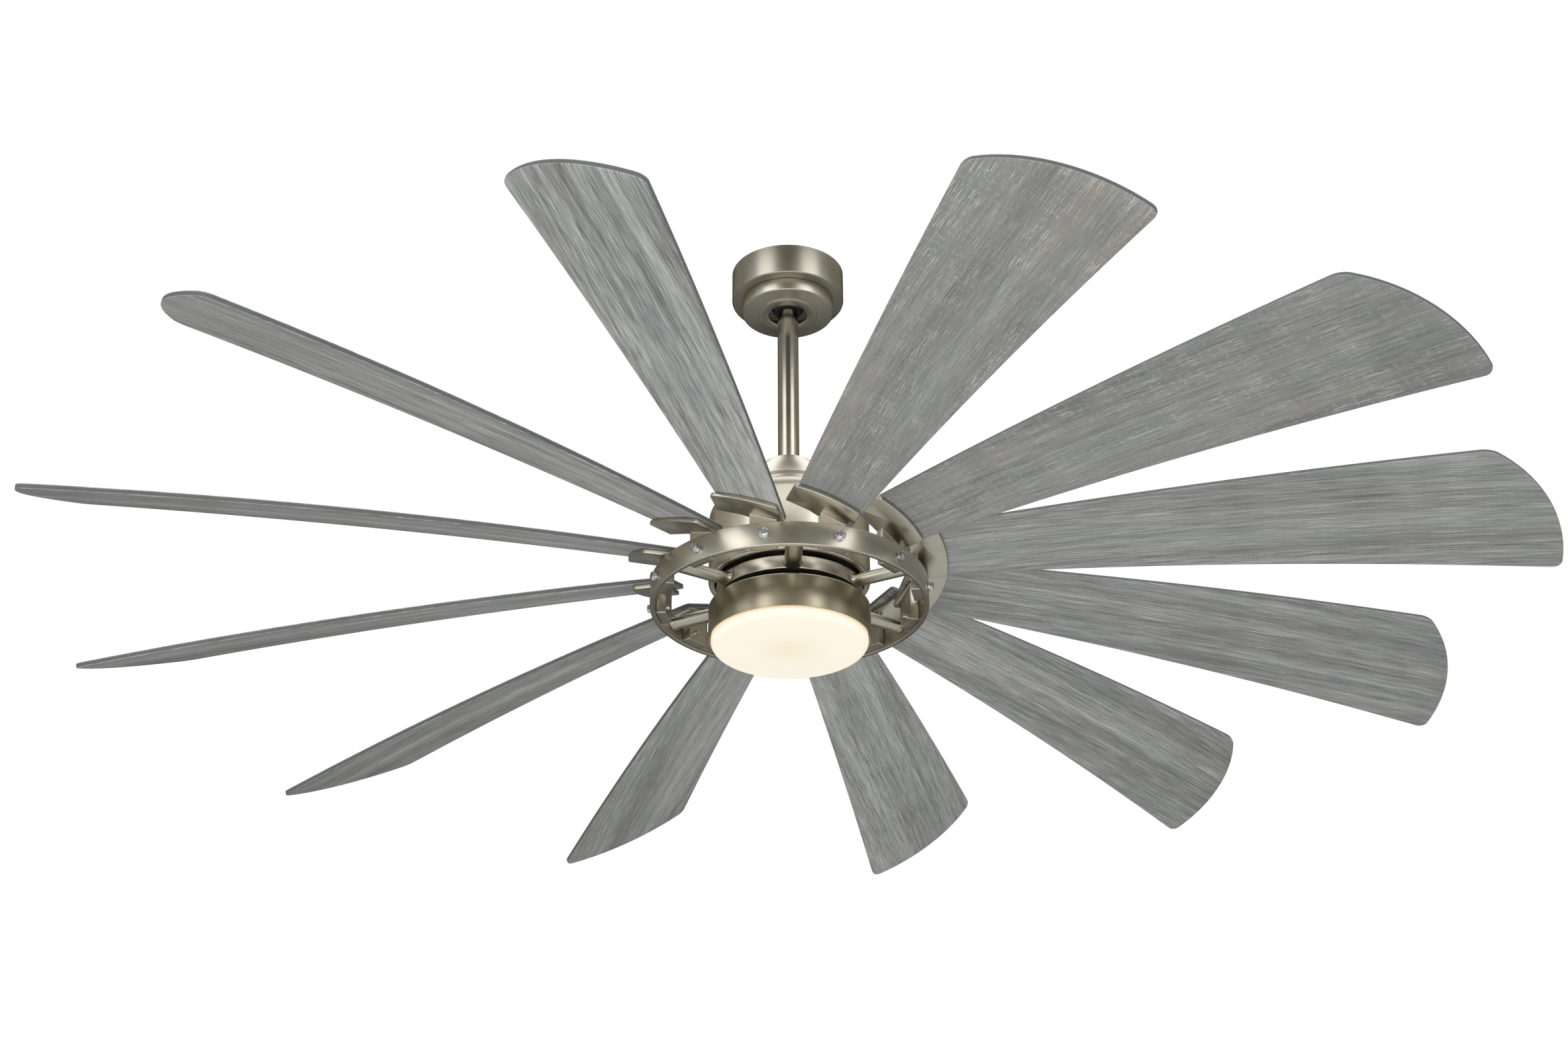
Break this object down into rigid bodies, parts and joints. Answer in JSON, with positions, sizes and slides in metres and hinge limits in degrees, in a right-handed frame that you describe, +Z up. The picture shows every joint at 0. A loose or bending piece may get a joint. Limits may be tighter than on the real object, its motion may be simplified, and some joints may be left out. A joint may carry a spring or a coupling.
{
  "type": "ceiling fan",
  "caption": "Ceiling fan with pitched wooden blades bolted through a ring on round spokes, a direct drive motor on a downrod and a round light below",
  "frame": {"origin": "middle of the hanger's ceiling face, on the fan's axis", "axes": "+Z up, out of the face that meets the ceiling, along the fan's axis; the hanger's strap runs along X and the ball swings about X"},
  "size_m": [1.7968, 1.7968, 0.538],
  "materials": {
    "satin_nickel": "satin nickel",
    "bare_steel": "plain zinc-plated steel",
    "motor_iron": "laminated iron with copper winding colour",
    "magnet": "dark ferrite",
    "weathered_wood": "grey weathered wood grain, matt",
    "black_plastic": "black, fine texture",
    "white_plastic": "off-white housing",
    "board": "white-coated aluminium board",
    "opal": "opal diffuser, glossy, lit warm white"
  },
  "bodies": {
    "mount": {"hanger_bracket": "bare_steel", "canopy": "satin_nickel", "canopy_cover": "satin_nickel", "remote_receiver": "black_plastic"},
    "hanging": {"hanger_ball": "black_plastic", "ball_pin": "bare_steel", "downrod": "satin_nickel", "motor_yoke": "bare_steel", "yoke_pin": "bare_steel", "coupling_cover": "satin_nickel", "motor_housing": "satin_nickel", "motor_shaft": "bare_steel", "stator": "motor_iron", "light_plate": "bare_steel", "shaft_nut": "bare_steel", "light_drum": "satin_nickel", "led_driver": "white_plastic", "led_tray": "bare_steel", "led_board": "board"},
    "rotor": {"rotor_case": "bare_steel", "rotor_cover": "bare_steel", "magnet_ring": "magnet", "upper_bearing": "bare_steel", "lower_bearing": "bare_steel", "hub": "satin_nickel", "spoke_1": "satin_nickel", "spoke_2": "satin_nickel", "spoke_3": "satin_nickel", "spoke_4": "satin_nickel", "spoke_5": "satin_nickel", "spoke_6": "satin_nickel", "blade_ring": "satin_nickel", "blade_bracket_01": "satin_nickel", "blade_bracket_02": "satin_nickel", "blade_bracket_03": "satin_nickel", "blade_bracket_04": "satin_nickel", "blade_bracket_05": "satin_nickel", "blade_bracket_06": "satin_nickel", "blade_bracket_07": "satin_nickel", "blade_bracket_08": "satin_nickel", "blade_bracket_09": "satin_nickel", "blade_bracket_10": "satin_nickel", "blade_bracket_11": "satin_nickel", "blade_bracket_12": "satin_nickel", "blade_01": "weathered_wood", "blade_02": "weathered_wood", "blade_03": "weathered_wood", "blade_04": "weathered_wood", "blade_05": "weathered_wood", "blade_06": "weathered_wood", "blade_07": "weathered_wood", "blade_08": "weathered_wood", "blade_09": "weathered_wood", "blade_10": "weathered_wood", "blade_11": "weathered_wood", "blade_12": "weathered_wood"},
    "lens": {"lens": "opal"}
  },
  "joints": [
    {"name": "ball_swing", "type": "hinge", "parent": "mount", "child": "hanging", "pos_m": [0, 0, -0.035], "axis": [1, 0, 0], "range_deg": [-15, 15]},
    {"name": "rotor_spin", "type": "hinge", "parent": "hanging", "child": "rotor", "pos_m": [0, 0, -0.468], "axis": [0, 0, 1], "continuous": true},
    {"name": "lens_twist", "type": "hinge", "parent": "hanging", "child": "lens", "pos_m": [0, 0, -0.527], "axis": [0, 0, 1], "range_deg": [0, 25]}
  ]
}
